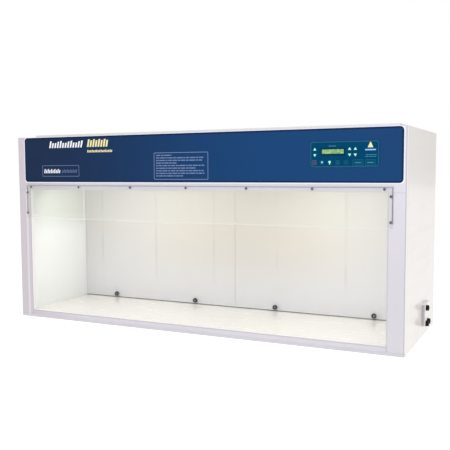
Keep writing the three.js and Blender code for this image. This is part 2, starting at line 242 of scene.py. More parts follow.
frameLook = {
    "face": tone(221, 217, 226),
    "shade": tone(212, 208, 215),
    # painted shade: the frame is darker towards its foot, fading out between these heights
    "shadeReach": (0.25, 0.6),      # heights between which the darker tone fades out
    # painted shade: greyer lines along the frame's outer edges and round the opening
    "edgeShade": tone(182, 176, 186),
    "outerWidth": 0.0035,
    "innerWidth": 0.0050,
    "lineShares": {"outside": 0.75, "beside": 0.45, "under": 0.55, "above": 0.12},
    "leftShade": tone(207, 199, 205),    # painted shade: a little darker and warmer at the left end
    "leftShadeReach": (-0.88, -0.5),
    "creaseHighlight": tone(230, 225, 230),     # painted highlight: a fold down the left post catches the light
    "creaseAt": -0.870,
    "creaseReach": (0.003, 0.008),
    "return": tone(246, 243, 244),     # painted light: faces turned into the opening and out to the sides are lighter
    "faceDepth": 0.0016,
}


def frontFramePaint(name, look):
    # powder-coated front frame, with painted shade as greyer lines along its outer and inner edges
    paint = Finish(name, coatRoughness=0.25)
    drift, marks = orangePeel(paint)
    low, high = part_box("header_panel")
    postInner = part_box("right_post")[0].x
    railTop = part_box("front_rail")[1].z
    reach = abs(paint.x)
    besidePosts = paint.z < low.z
    betweenPosts = reach < postInner

    def edgeStrip(distance):
        return abs(distance - look["innerWidth"] / 2) < look["innerWidth"] / 2

    shares = look["lineShares"]
    outside = (reach > high.x - look["outerWidth"]).clamped() * shares["outside"]
    beside = edgeStrip(reach - postInner) * besidePosts * shares["beside"]
    under = edgeStrip(railTop - paint.z) * betweenPosts * shares["under"]
    above = edgeStrip(paint.z - low.z) * betweenPosts * shares["above"]
    # painted shade, darker towards the foot of the frame
    lower = 1 - paint.ramp(paint.z, *look["shadeReach"])
    plain = paint.mix((drift * 0.5 + marks * 0.12 + lower * 0.5).clamped(), look["face"], look["shade"])
    # painted shade towards the left end of the frame
    plain = paint.mix(1 - paint.ramp(paint.x, *look["leftShadeReach"]), plain, look["leftShade"])
    # painted highlight down the left post
    creaseHighlight = (1 - paint.ramp(abs(paint.x - look["creaseAt"]), *look["creaseReach"])) * besidePosts
    plain = paint.mix(creaseHighlight * 0.8, plain, look["creaseHighlight"])
    # painted shade lines along the edges of the frame and the opening
    edgeShaded = paint.mix((outside + beside + under + above).clamped(), plain, look["edgeShade"])
    # faces turned away from the front get a painted lighter tone, as lit
    turnedAway = paint.y > low.y + look["faceDepth"]
    return paint.made(baseColor=paint.mix(turnedAway, edgeShaded, look["return"]))


liningLook = {
    # faces turned to the chamber, with painted light: brighter towards the bottom and near the baffles
    "upper": tone(234, 237, 230),
    "lower": tone(252, 254, 252),
    "rear": tone(252, 252, 250),
    "lowerReach": (0.35, 0.5),     # heights between which the lower tone turns to the upper one
    "rearWidth": 0.022,            # painted light: brighter strip in front of the baffles
    "behindBaffles": 0.02,
    "overlap": 0.0006,
}


def whiteSheet(name, colour, shade, wave=0.0012, lining=None, reflectionShare=0.06):
    # glossy white sheet that isn't quite flat, with faint scuffs and painted reflection streaks along
    # its height
    sheet = Finish(name, coatRoughness=0.12)
    wobble = sheet.noise(0.26, 1, 0.4, (1, 1, 0.35))
    grain = sheet.noise(0.004, 2)
    scuffs = sheet.ramp(sheet.noise(0.02, 6, 0.7, (1, 1, 0.15)), 0.60, 0.74)
    # painted reflection: faint streaks like the bands a wavy glossy sheet reflects
    reflectionStreaks = sheet.ramp(sheet.noise(0.045, 2, 0.5, (1, 0.12, 1)), 0.45, 0.7)
    skin = sheet.mix(wobble * 0.5 + scuffs * 0.15 + reflectionStreaks * reflectionShare, colour, shade)
    if lining:
        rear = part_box("left_baffle")[0].y
        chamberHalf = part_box("work_surface")[1].x + lining["overlap"]
        inside = (abs(sheet.x) < chamberHalf) * (sheet.y < rear + lining["behindBaffles"])
        # painted light: the chamber lining is brighter towards the bottom and in a strip in front of the
        # baffles
        lower = 1 - sheet.ramp(sheet.z, *lining["lowerReach"])
        wall = sheet.mix(lower, lining["upper"], lining["lower"])
        wall = sheet.mix((sheet.y > rear - lining["rearWidth"]) * 0.7, wall, lining["rear"])
        skin = sheet.mix(inside, skin, wall)
    sheet.bump(wobble + 0.004 * grain, wave, 0.6)
    return sheet.made(baseColor=skin, roughness=0.26 + 0.18 * scuffs + 0.06 * grain,
                      coatWeight=0.35 - 0.2 * scuffs)


boxLook = {
    "lid": tone(250, 247, 245),
    "rim": tone(190, 182, 187),      # painted shade: greyer along its front side only
    "rimDepth": (0.0035, 0.0015),    # behind the lid's face
    "rimFront": (0.002, 0.008),      # from the front side
}


def boxFinish(name, look):
    shell = Finish(name)
    low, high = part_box("service_box")
    deep, shallow = look["rimDepth"]
    near, far = look["rimFront"]
    # painted shade along the box's front side
    rim = 1 - shell.ramp(shell.x, high.x - deep, high.x - shallow)
    rim = rim * (1 - shell.ramp(shell.y, low.y + near, low.y + far))
    grain = shell.noise(0.0015, 3)
    shell.bump(grain, 0.0001, 0.5)
    return shell.made(baseColor=shell.mix(rim, look["lid"], look["rim"]), roughness=0.35 + 0.12 * grain)


def glossyFloor(name):
    # poured-looking cream work surface: nearly a mirror at low angles, with fine wiping marks
    floor = Finish(name, coatRoughness=0.1, ior=1.5)
    cloud = floor.noise(0.2, 3)
    wiping = floor.ramp(floor.noise(0.012, 6, 0.7, (0.12, 1, 1)), 0.55, 0.75)
    floor.bump(cloud + 0.01 * wiping, 0.0004, 0.5)
    return floor.made(baseColor=floor.mix(cloud, tone(253, 251, 246), tone(250, 247, 240)),
                      roughness=0.25 + 0.08 * wiping, coatWeight=0.3 - 0.08 * wiping)


baffleLook = {
    "panel": tone(236, 236, 237),
    "shade": tone(226, 225, 227),
    "upper": tone(213, 210, 205),      # painted shade with the lamps' yellow tint: duller and yellower towards the lamps
    "upperReach": (0.02, 0.5),
    "aged": tone(219, 212, 199),       # painted shade with the lamps' yellow tint, strongest in the middle
    "lampTintReach": (0.05, 0.4),
    "lampTintCentre": 0.05,
    "lampTintSpread": (0.25, 0.75),
    "band": tone(196, 193, 190),       # painted shade along faint upright pressed lines
    "bandPitch": 0.334,
    "bandStart": -0.7835,
    "bandHalf": (0.0033, 0.011),
    "bandReach": (0.10, 0.30),
}


def baffleSheet(name, look):
    sheet = Finish(name, coatRoughness=0.12)
    drift = sheet.noise(0.45, 2, 0.5, (1, 1, 0.6))
    grain = sheet.noise(0.003, 2, 0.5, (1, 1, 0.2))
    pitch = look["bandPitch"]
    fromBand = abs((sheet.x - look["bandStart"] + pitch / 2) % pitch - pitch / 2)
    # painted shade bands along the pressed lines
    band = (1 - sheet.ramp(fromBand, *look["bandHalf"])) * sheet.ramp(sheet.z, *look["bandReach"])
    faded = band * sheet.ramp(sheet.noise(0.15, 1), 0.3, 0.6)
    skin = sheet.mix((drift * 0.45 + faded * 0.55).clamped(), look["panel"], look["shade"])
    # painted shade and lamp tint towards the top of the baffles
    skin = sheet.mix(sheet.ramp(sheet.z, *look["upperReach"]) * 0.9, skin, look["upper"])
    # painted lamp tint and shade in the middle of the baffles
    middle = 1 - sheet.ramp(abs(sheet.x - look["lampTintCentre"]), *look["lampTintSpread"])
    skin = sheet.mix(sheet.ramp(sheet.z, *look["lampTintReach"]) * middle * 0.7, skin, look["aged"])
    sheet.bump(drift + 0.01 * grain - 0.15 * faded, 0.0008, 0.5)
    return sheet.made(baseColor=sheet.mix(faded * 0.3, skin, look["band"]),
                      roughness=0.30 + 0.10 * drift + 0.05 * grain, coatWeight=0.25 - 0.1 * drift)


def mouldedPlastic(name, colour, shade, roughness=0.45, **constants):
    plastic = Finish(name, **constants)
    grain = plastic.noise(0.0012, 3)
    drift = plastic.noise(0.02, 3)
    plastic.bump(grain, 0.0001, 0.5)
    return plastic.made(baseColor=plastic.mix(drift, colour, shade), roughness=roughness + 0.15 * grain)


def platedSteel(name, colour=(0.56, 0.57, 0.59), roughness=0.3, run=(0.04, 1, 1)):
    # rolled sheet: brushed along one direction, with darker spots
    steel = Finish(name)
    brushing = steel.noise(0.0015, 4, 0.6, run)
    spots = steel.ramp(steel.noise(0.03, 4), 0.5, 0.75)
    steel.bump(brushing, 0.00008, 0.5)
    return steel.made(metallic=0.92 - 0.15 * spots,
                      baseColor=steel.mix(spots, colour, tuple(c * 0.8 for c in colour)),
                      roughness=roughness + 0.15 * brushing + 0.08 * spots)


labelLook = {
    # print, with painted shade darkening the left end
    "leftBlue": tone(17, 37, 69),
    "rightBlue": tone(8, 63, 114),
    "blueReach": (-0.85, 0.45),
    "cloudBlue": tone(18, 58, 100),
    "border": tone(246, 248, 255),
    "edgeBlue": tone(4, 26, 66),
    "edgeWidth": 0.0070,
}


def nearBorder(finish, node, width):
    # 1 within the width of the left, right, upper or lower border of a node seen from the front
    low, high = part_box(node)
    sides = abs(finish.x - (low.x + high.x) / 2) > (high.x - low.x) / 2 - width
    ends = abs(finish.z - (low.z + high.z) / 2) > (high.z - low.z) / 2 - width
    return (sides + ends).clamped()


def labelFilm(name, look):
    # printed film: navy at the left running to a lighter blue at the right, under a satin clear coat;
    # the darker left end is partly painted shade
    film = Finish(name, coatRoughness=0.3, specularIorLevel=0.12)
    cloud = film.noise(0.09, 3)
    weave = film.noise(0.002, 2)
    blue = film.mix(film.ramp(film.x, *look["blueReach"]), look["leftBlue"], look["rightBlue"])
    blue = film.mix(cloud * 0.2, blue, look["cloudBlue"])
    border = nearBorder(film, "fascia_label", look["edgeWidth"])
    film.bump(weave, 0.00006, 0.4)
    return film.made(baseColor=film.mix(border * 0.8, blue, look["edgeBlue"]),
                     roughness=0.42 + 0.12 * weave, coatWeight=0.02 + 0.04 * cloud)


def keypadFilm(name, colour, shade):
    # membrane keypad film: fine satin texture over a printed teal ground
    film = Finish(name, coatRoughness=0.3, specularIorLevel=0.02)
    cloud = film.noise(0.03, 3)
    weave = film.noise(0.0012, 2)
    film.bump(weave, 0.00005, 0.5)
    return film.made(baseColor=film.mix(cloud, colour, shade), roughness=0.38 + 0.15 * weave,
                     coatWeight=0.01 * cloud)


def printInk(name, colour, glow=0.0):
    ink = Finish(name, specularIorLevel=0.15)
    mottle = ink.noise(0.0025, 3)
    # a glow on an ink is painted light: the print is no lamp
    if glow:
        ink.made(emissionColor=colour, emissionStrength=glow)
    return ink.made(baseColor=ink.mix(mottle * 0.25, colour, tuple(c * 0.75 for c in colour)),
                    roughness=0.4 + 0.15 * mottle)


displayLook = {
    "glass": (tone(98, 144, 84), tone(118, 162, 100)),
    "field": tone(80, 122, 76),
    "letters": tone(170, 196, 130),
    "sides": tone(20, 60, 40),
    "glow": 0.35,
    "cell": (0.0052, 0.0098),          # width and height of one character
    "firstCell": (0.5955, 0.7535),
    "cellGaps": (0.18, 0.22),
    "textCentre": (0.6365, 0.7633),
    "textHalf": (0.0416, 0.0098),
    "faceDepth": 0.002,
}


def displayFace(name, look):
    # two rows of sixteen character cells on a backlit yellow-green glass
    face = Finish(name, emissionStrength=look["glow"])
    inText = 1.0
    for place, index in ((face.x, 0), (face.z, 1)):
        intoCell = ((place - look["firstCell"][index]) / look["cell"][index]) % 1.0
        inCell = intoCell > look["cellGaps"][index]
        inField = abs(place - look["textCentre"][index]) < look["textHalf"][index]
        inText = inCell * inField * inText
    patch = (face.noise(0.009, 1) > 0.52) * inText
    front = face.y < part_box("lcd_module")[0].y + look["faceDepth"]
    glass = face.mix(face.noise(0.03, 2), *look["glass"])
    glass = face.mix(inText * 0.3, glass, look["field"])
    glass = face.mix(patch * 0.6, glass, look["letters"])
    return face.made(baseColor=face.mix(front, look["sides"], glass),
                     emissionColor=face.mix(front, (0, 0, 0), glass),
                     roughness=0.18 + 0.3 * (1 - front))


def clearSheet(name):
    # clear polycarbonate, a little green, with faint wiping haze and a painted highlight as a paler line
    # along its top and bottom edges
    clear = Finish(name, ior=1.5)
    haze = clear.noise(0.05, 5, 0.6, (0.3, 1, 1))
    low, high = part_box("visor")
    # painted highlight along the top and bottom edges
    edge = abs(clear.z - (low.z + high.z) / 2) > (high.z - low.z) / 2 - 0.002
    return clear.made(baseColor=clear.mix(edge, tone(222, 228, 218), tone(240, 246, 244)),
                      roughness=0.05 + 0.08 * haze, alpha=0.07 + 0.04 * haze + 0.5 * edge)


def lampGlass(name, colour, glow, capLength=0.0205):
    glass = Finish(name, emissionStrength=glow)
    low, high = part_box("white_lamp")
    onCap = abs(glass.x) > (high.x - low.x) / 2 - capLength
    frost = glass.noise(0.004, 3)
    return glass.made(baseColor=glass.mix(onCap, colour, (0.55, 0.56, 0.58)), metallic=0.9 * onCap,
                      roughness=0.22 + 0.1 * frost, emissionColor=glass.mix(onCap, colour, (0, 0, 0)))


mediaLook = {
    # the valley tone is painted shade in the pleat folds
    "ridge": (0.34, 0.35, 0.36), "valleyShade": (0.09, 0.095, 0.10), "rim": (0.62, 0.60, 0.55),
    "pleat": 0.012,
    "centre": (0.45, -0.04),           # of either cassette, and half its media's width and depth
    "half": (0.379, 0.179),
}


def pleatedMedia(name, look):
    media = Finish(name)
    pleat = look["pleat"]
    fold = abs((media.x % pleat) - pleat / 2) / (pleat / 2)
    fibre = media.noise(0.0015, 4)
    pastSides = abs(abs(media.x) - look["centre"][0]) > look["half"][0]
    pastEnds = abs(media.y - look["centre"][1]) > look["half"][1]
    rim = (pastSides + pastEnds).clamped()
    # painted shade in the pleat valleys
    pleats = media.mix(fold * 0.7, look["ridge"], look["valleyShade"])
    media.bump(fold * (1 - rim) + 0.1 * fibre, 0.002, 0.8)
    return media.made(baseColor=media.mix(rim, pleats, look["rim"]), roughness=0.75 + 0.2 * fibre)


def fibrePad(name):
    pad = Finish(name)
    loft = pad.noise(0.003, 6, 0.75)
    pad.bump(loft, 0.002, 0.8)
    return pad.made(baseColor=pad.mix(loft, (0.82, 0.84, 0.84), (0.55, 0.57, 0.58)),
                    roughness=0.85 + 0.1 * loft)


def circuitBoard(name):
    board = Finish(name)
    tracks = ((board.x % 0.004) < 0.0012) * (board.noise(0.012, 0) > 0.5)
    board.bump(tracks, 0.0001, 0.6)
    return board.made(baseColor=board.mix(tracks, (0.01, 0.10, 0.05), (0.03, 0.20, 0.09)),
                      roughness=0.35 + 0.1 * board.noise(0.002, 2))


framePaint = frontFramePaint("framePaint", frameLook)
# painted shade: the base pan's tones are a little darker than the frame's, as at the set-back foot
basePaint = powderCoat("basePaint", tone(212, 208, 214), tone(202, 198, 205))
sideSheet = whiteSheet("sideSheet", tone(240, 235, 230), tone(228, 221, 216), lining=liningLook,
                       reflectionShare=0.3)
backSheet = whiteSheet("backSheet", tone(238, 235, 231), tone(226, 222, 217))
coverSheet = whiteSheet("coverSheet", tone(238, 236, 236), tone(226, 224, 226), 0.0006)
serviceShell = boxFinish("serviceShell", boxLook)
ceilingSheet = whiteSheet("ceilingSheet", tone(240, 240, 236), tone(230, 230, 226), 0.0004)
floorGloss = glossyFloor("floorGloss")
baffleFinish = baffleSheet("baffleFinish", baffleLook)
blackMoulding = mouldedPlastic("blackMoulding", (0.006, 0.004, 0.006), (0.012, 0.010, 0.012),
                               specularIorLevel=0.12)
bezelPlastic = mouldedPlastic("bezelPlastic", (0.000, 0.036, 0.066), (0.001, 0.042, 0.076), 0.5,
                              specularIorLevel=0.02)
knobMoulding = mouldedPlastic("knobMoulding", (0.082, 0.074, 0.084), (0.105, 0.095, 0.107), 0.4,
                              specularIorLevel=0.25)
gasketRubber = mouldedPlastic("gasketRubber", tone(158, 150, 166), tone(144, 137, 153), 0.6)
steelFinish = platedSteel("steelFinish")
studSteel = platedSteel("studSteel", (0.42, 0.40, 0.42), 0.4, (1, 1, 1))
screwSteel = platedSteel("screwSteel", (0.16, 0.16, 0.17), 0.32, (1, 1, 1))
motorSteel = platedSteel("motorSteel", (0.45, 0.46, 0.47), 0.35, (1, 1, 0.05))
labelFinish = labelFilm("labelFinish", labelLook)
borderInk = printInk("borderInk", labelLook["border"])
whiteInk = printInk("whiteInk", tone(246, 246, 252))
yellowInk = printInk("yellowInk", tone(240, 232, 172))
greyInk = printInk("greyInk", tone(92, 112, 152))
noteInk = printInk("noteInk", tone(108, 130, 170))
tealInk = printInk("tealInk", tone(22, 94, 124))
duskInk = printInk("duskInk", tone(60, 130, 164))
# painted glow: the mint and sky inks are given a faint light of their own
mintInk = printInk("mintInk", tone(180, 244, 228), 0.1)
skyInk = printInk("skyInk", tone(140, 195, 240), 0.05)
redInk = printInk("redInk", tone(92, 80, 116))
overlayFilm = keypadFilm("overlayFilm", tone(0, 62, 102), tone(0, 72, 106))
keyFilm = keypadFilm("keyFilm", tone(8, 72, 104), tone(8, 80, 110))
displayFinish = displayFace("displayFinish", displayLook)
visorClear = clearSheet("visorClear")
whiteLampGlass = lampGlass("whiteLampGlass", (1.0, 0.98, 0.93), 2.5)
uvLampGlass = lampGlass("uvLampGlass", (0.72, 0.76, 0.9), 0.0)
filterMedia = pleatedMedia("filterMedia", mediaLook)
prefilterPad = fibrePad("prefilterPad")
boardFinish = circuitBoard("boardFinish")
print("finishes mixed")


# CAD nodes that stay: rounded edges and a finish

stayingNodes = [
    # nodes, finish, edge radius in metres
    (["left_post", "right_post", "front_rail", "header_panel"], framePaint, 0.0012),
    (["base_pan"], basePaint, 0.001),
    (["left_side_panel", "right_side_panel"], sideSheet, 0.0015),
    (["rear_cover"], backSheet, 0.004),
    (["top_deck", "exhaust_cover"], coverSheet, 0.0008),
    (["chamber_ceiling", "left_lamp_holder", "right_lamp_holder"], ceilingSheet, 0.0008),
    (["work_surface"], floorGloss, 0.001),
    (["left_baffle", "right_baffle"], baffleFinish, 0.0006),
    (["baffle_hinge_rod", "baffle_rail", "front_filter_rail", "rear_filter_rail", "lamp_ballast"],
     steelFinish, 0.0005),
    (["left_fan_motor", "right_fan_motor"], motorSteel, 0.0015),
    (["left_fan_housing", "right_fan_housing", "left_fan_impeller", "right_fan_impeller"],
     blackMoulding, 0.0006),
    (["visor_gasket"], gasketRubber, 0.0003),
    (["fascia_label"], labelFinish, 0.0004),
    (["keypad_overlay"], overlayFilm, 0.0003),
    ([name for name in nodes if name.endswith("_key")], keyFilm, 0.0004),
    (["lcd_module"], displayFinish, 0.0003),
    (["controller_board"], boardFinish, 0.0001),
    (["visor"], visorClear, 0.0004),
    (["left_filter", "right_filter"], filterMedia, 0.001),
    (["left_prefilter", "right_prefilter"], prefilterPad, 0.002),
    (["white_lamp"], whiteLampGlass, 0.0003),
    (["uv_lamp"], uvLampGlass, 0.0003),
]


def smooth(mesh):
    mesh.polygons.foreach_set("use_smooth", [True] * len(mesh.polygons))


edgeSettings = {"weldGap": 0.00002, "flatDegrees": 0.5, "sharpDegrees": 40, "segments": 2}


def dressNode(node, finish, radius, settings):
    node.data.materials.clear()
    node.data.materials.append(finish)
    smooth(node.data)
    weld = node.modifiers.new("weld", "WELD")
    weld.merge_threshold = settings["weldGap"]
    flat = node.modifiers.new("flat", "DECIMATE")
    flat.decimate_type = "DISSOLVE"
    flat.angle_limit = math.radians(settings["flatDegrees"])
    edge = node.modifiers.new("edge", "BEVEL")
    edge.width = radius
    edge.segments = settings["segments"]
    edge.limit_method = "ANGLE"
    edge.angle_limit = math.radians(settings["sharpDegrees"])
    normals = node.modifiers.new("normals", "WEIGHTED_NORMAL")
    normals.weight = 100


for names, finish, radius in stayingNodes:
    for name in names:
        dressNode(nodes[name], finish, radius, edgeSettings)
print("CAD nodes dressed")


# making pieces

def makeMesh(name, bm, *finishes, sharpAngle=30):
    bmesh.ops.recalc_face_normals(bm, faces=bm.faces)
    mesh = bpy.data.meshes.new(name)
    bm.to_mesh(mesh)
    bm.free()
    smooth(mesh)
    mesh.set_sharp_from_angle(angle=math.radians(sharpAngle))
    for finish in finishes:
        mesh.materials.append(finish)
    return mesh


def addPiece(name, bm, finish, body="cabinet"):
    return addMesh(name, makeMesh(name, bm, finish), body)


def addMesh(name, mesh, body="cabinet", place=None):
    piece = bpy.data.objects.new(name, mesh)
    bpy.context.scene.collection.objects.link(piece)
    if place:
        piece.matrix_world = place
    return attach(piece, body)


def centreOf(node):
    low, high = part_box(node)
    return (low + high) / 2


def spaced(first, last, count):
    return [first + (last - first) * index / (count - 1) for index in range(count)]


def rectangle(a0, a1, b0, b1):
    return [(a0, b0), (a1, b0), (a1, b1), (a0, b1)]


def roundedOutline(a0, a1, b0, b1, radius, steps=5):
    corners = [(a1 - radius, b0 + radius, -90), (a1 - radius, b1 - radius, 0),
               (a0 + radius, b1 - radius, 90), (a0 + radius, b0 + radius, 180)]
    points = []
    for a, b, start in corners:
        for step in range(steps + 1):
            angle = math.radians(start + 90 * step / steps)
            points.append((a + radius * math.cos(angle), b + radius * math.sin(angle)))
    return points


def addPrism(bm, outline, near, far, axis="y", soften=0.0):
    # outline lies across the axis: (x, z) for y, (y, z) for x, (x, y) for z
    def at(point, along):
        a, b = point
        return {"x": (along, a, b), "y": (a, along, b), "z": (a, b, along)}[axis]
    rings = [[bm.verts.new(at(point, along)) for point in outline] for along in (near, far)]
    count = len(outline)
    caps = [bm.faces.new(rings[0]), bm.faces.new(list(reversed(rings[1])))]
    for index in range(count):
        following = (index + 1) % count
        bm.faces.new((rings[0][index], rings[1][index], rings[1][following], rings[0][following]))
    if soften:
        rim = [edge for edge in caps[0].edges]
        bmesh.ops.bevel(bm, geom=rim, offset=soften, segments=2, profile=0.5, affect="EDGES")


def addTurned(bm, profile, segments=32, flutes=None):
    # profile of (radius, along the local z axis); flutes = (count, depth, low, high)
    rings = []
    for radius, along in profile:
        if radius == 0:
            rings.append([bm.verts.new((0, 0, along))])
            continue
        ring = []
        for step in range(segments):
            angle = 2 * math.pi * step / segments
            reach = radius
            if flutes and flutes[2] <= along <= flutes[3]:
                reach -= flutes[1] * (0.5 - 0.5 * math.cos(flutes[0] * angle))
            ring.append(bm.verts.new((reach * math.cos(angle), reach * math.sin(angle), along)))
        rings.append(ring)
    for first, second in zip(rings, rings[1:]):
        for step in range(segments):
            following = (step + 1) % segments
            corners = [first[step % len(first)], first[following % len(first)],
                       second[following % len(second)], second[step % len(second)]]
            unique = list(dict.fromkeys(corners))
            if len(unique) > 2:
                bm.faces.new(unique)


def addRing(bm, outer, inner, near, far):
    # a closed frame between two outlines with the same number of points, standing along y
    count = len(outer)
    loops = [[bm.verts.new((a, along, b)) for a, b in line]
             for line, along in ((outer, near), (outer, far), (inner, far), (inner, near))]
    for index in range(count):
        following = (index + 1) % count
        for first, second in zip(loops, loops[1:] + loops[:1]):
            bm.faces.new((first[index], first[following], second[following], second[index]))


inkLayer = {"height": 0.00015, "gap": 0.00002}      # prints stand just clear of the face under them


def printed(name, shapes, finish, face, body="cabinet"):
    # thin prints on a face looking to -y
    bm = bmesh.new()
    for shape in shapes:
        addPrism(bm, shape, face - inkLayer["height"], face - inkLayer["gap"])
    return addPiece(name, bm, finish, body)


def printedRing(name, box, radius, line, finish, face, body="cabinet"):
    a0, a1, b0, b1 = box
    bm = bmesh.new()
    outer = roundedOutline(a0, a1, b0, b1, radius)
    inner = roundedOutline(a0 + line, a1 - line, b0 + line, b1 - line, max(radius - line, line * 0.3))
    addRing(bm, outer, inner, face - inkLayer["height"], face - inkLayer["gap"])
    return addPiece(name, bm, finish, body)


# screws

screw = {
    "radius": 0.0052, "height": 0.0034, "segments": 28,
    # shares of the radius and of the height
    "profile": ((0, 0), (0.97, 0), (1, 0.15), (0.97, 0.45), (0.85, 0.74), (0.62, 0.93), (0.3, 1),
                (0, 1)),
    "recess": 0.0017, "blade": 0.0012, "reach": 0.0034,
}


def makeScrewMesh(settings):
    radius = settings["radius"]
    height = settings["height"]
    blade = settings["blade"] / 2
    reach = settings["reach"]
    head = bmesh.new()
    addTurned(head, [(radius * a, height * b) for a, b in settings["profile"]], settings["segments"])
    cross = bmesh.new()
    quarter = [(blade, -blade), (reach, -blade), (reach, blade)]
    plus = []
    for turn in range(4):
        plus += quarter
        quarter = [(-b, a) for a, b in quarter]
    addPrism(cross, plus, height - settings["recess"], height + 0.001, "z")
    blank = bpy.data.objects.new("screwBlank", makeMesh("panScrew", head))
    cutter = bpy.data.objects.new("screwCutter", makeMesh("screwCross", cross))
    for piece in (blank, cutter):
        bpy.context.scene.collection.objects.link(piece)
    carve = blank.modifiers.new("carve", "BOOLEAN")
    carve.object = cutter
    carve.solver = "EXACT"
    bpy.context.view_layer.update()
    evaluated = blank.evaluated_get(bpy.context.evaluated_depsgraph_get())
    carved = bpy.data.meshes.new_from_object(evaluated)
    bpy.data.objects.remove(blank)
    bpy.data.objects.remove(cutter)
    smooth(carved)
    carved.set_sharp_from_angle(angle=math.radians(35))
    carved.materials.clear()
    carved.materials.append(screwSteel)
    return carved


screwMesh = makeScrewMesh(screw)
outwards = {
    "front": Matrix.Rotation(math.radians(90), 4, "X"),
    "back": Matrix.Rotation(math.radians(-90), 4, "X"),
    "top": Matrix.Identity(4),
    "right": Matrix.Rotation(math.radians(90), 4, "Y"),
}


def placeScrew(name, position, facing, turn, body="cabinet"):
    twist = Matrix.Rotation(math.radians(turn), 4, "Z")
    return addMesh(name, screwMesh, body, Matrix.Translation(position) @ outwards[facing] @ twist)


visorScrews = {
    "topCount": 7,
    "leftInset": 0.0295,
    "rightInset": 0.0315,
    "edgeInset": 0.0098,
    "sideInset": 0.0072,
    "sideDrops": (0.036, 0.132),
    "turn": 17,      # degrees of slot turn from one screw to the next
}


def fixVisor(settings):
    low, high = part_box("visor")
    topRow = spaced(low.x + settings["leftInset"], high.x - settings["rightInset"], settings["topCount"])
    places = [(x, high.z - settings["edgeInset"]) for x in topRow]
    for x in (low.x + settings["sideInset"], high.x - settings["sideInset"]):
        places += [(x, high.z - drop) for drop in settings["sideDrops"]]
    for index, (x, z) in enumerate(places):
        placeScrew(f"visor_screw_{index + 1:02d}", (x, low.y, z), "front", settings["turn"] * index)


fixVisor(visorScrews)

coverScrews = {"inset": 0.012, "columns": 7, "rows": 4, "turn": 23}


def fixRearCover(settings):
    low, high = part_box("rear_cover")
    inset = settings["inset"]
    columns = spaced(low.x + inset, high.x - inset, settings["columns"])
    rows = spaced(low.z + inset, high.z - inset, settings["rows"])
    places = [(x, z) for x in columns for z in rows
              if x in (columns[0], columns[-1]) or z in (rows[0], rows[-1])]
    for index, (x, z) in enumerate(places):
        placeScrew(f"rear_screw_{index + 1:02d}", (x, high.y, z), "back", settings["turn"] * index)


fixRearCover(coverScrews)

deckScrews = {"inset": 0.014, "columns": 5, "headSink": 0.0012, "turn": 31}


def fixExhaustCover(settings):
    low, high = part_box("exhaust_cover")
    inset = settings["inset"]
    columns = spaced(low.x + inset, high.x - inset, settings["columns"])
    for column, x in enumerate(columns):
        for side, y in (("middle", (low.y + high.y) / 2), ("back", high.y - inset)):
            if side == "back" or x in (columns[0], columns[-1]):
                placeScrew(f"cover_screw_{side}_{column + 1}", (x, y, high.z - settings["headSink"]),
                           "top", settings["turn"] * column, "exhaust_cover")


fixExhaustCover(deckScrews)
print("screws driven")


# thumb knobs

knob = {
    "radius": 0.0115, "collar": 0.0068, "collarHigh": 0.003, "shank": 0.003, "stud": 0.0036,
    "gripBack": 0.005, "gripMiddle": 0.008, "gripFront": 0.0122, "nose": 0.0138, "tail": 0.0138,
    "flutes": (16, 0.0008), "segments": 64, "gap": 0.0003,
}


def makeKnobMesh(settings):
    # the local z axis runs out of the front of the grip; z 0 is the collar's back face
    radius = settings["radius"]
    back = settings["gripBack"]
    front = settings["gripFront"]
    nose = settings["nose"]
    tail = -settings["tail"]
    shank = settings["shank"]
    stud = settings["stud"]
    collar = settings["collar"]
    profile = [
        (0, tail), (shank * 0.75, tail), (shank, tail + 0.001), (shank, 0), (collar, 0),
        (collar, settings["collarHigh"]), (radius - 0.0018, settings["collarHigh"] + 0.0004),
        (radius, back), (radius, settings["gripMiddle"]), (radius, front),
        (radius - 0.0007, front + 0.0009), (radius - 0.0022, nose), (radius - 0.0042, nose),
        (radius - 0.0050, nose - 0.0010), (stud, nose - 0.0012), (stud * 0.8, nose - 0.0005),
        (0, nose - 0.0003),
    ]
    bm = bmesh.new()
    addTurned(bm, profile, settings["segments"], (*settings["flutes"], back - 0.0002, front + 0.0002))
    mesh = makeMesh("thumbKnob", bm, knobMoulding, studSteel, sharpAngle=38)
    for polygon in mesh.polygons:
        # the stud's end shows in the middle of the grip
        place = polygon.center
        if place.z > nose - 0.003 and place.xy.length < stud:
            polygon.material_index = 1
    return mesh


knobMesh = makeKnobMesh(knob)
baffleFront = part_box("left_baffle")[0].y
for index in range(1, 5):
    cadKnob = f"baffle_knob_{index}"
    centre = centreOf(cadKnob)
    centre.y = baffleFront - knob["gap"]
    place = Matrix.Translation(centre) @ outwards["front"]
    grip = addMesh(f"thumb_knob_{index}", knobMesh, cadKnob, place)
    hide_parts(cadKnob)
print("knobs turned")


# fascia prints

labelLow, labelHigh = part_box("fascia_label")
labelFace = labelLow.y
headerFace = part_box("header_panel")[0].y
labelRim = {"width": 0.0045, "topWidth": 0.0024, "radius": 0.0165, "height": 0.0006, "gap": 0.0002}


def makeLabelRim(rim):
    # white film edge all round the label, narrower along the top
    bm = bmesh.new()
    width = rim["width"]
    gap = rim["gap"]
    outer = roundedOutline(labelLow.x - width, labelHigh.x + width, labelLow.z - width,
                           labelHigh.z + rim["topWidth"], rim["radius"])
    inner = roundedOutline(labelLow.x - gap, labelHigh.x + gap, labelLow.z - gap, labelHigh.z + gap,
                           rim["radius"] - 0.0015)
    addRing(bm, outer, inner, headerFace - rim["height"], headerFace - inkLayer["gap"])
    addPiece("label_rim", bm, borderInk)


makeLabelRim(labelRim)

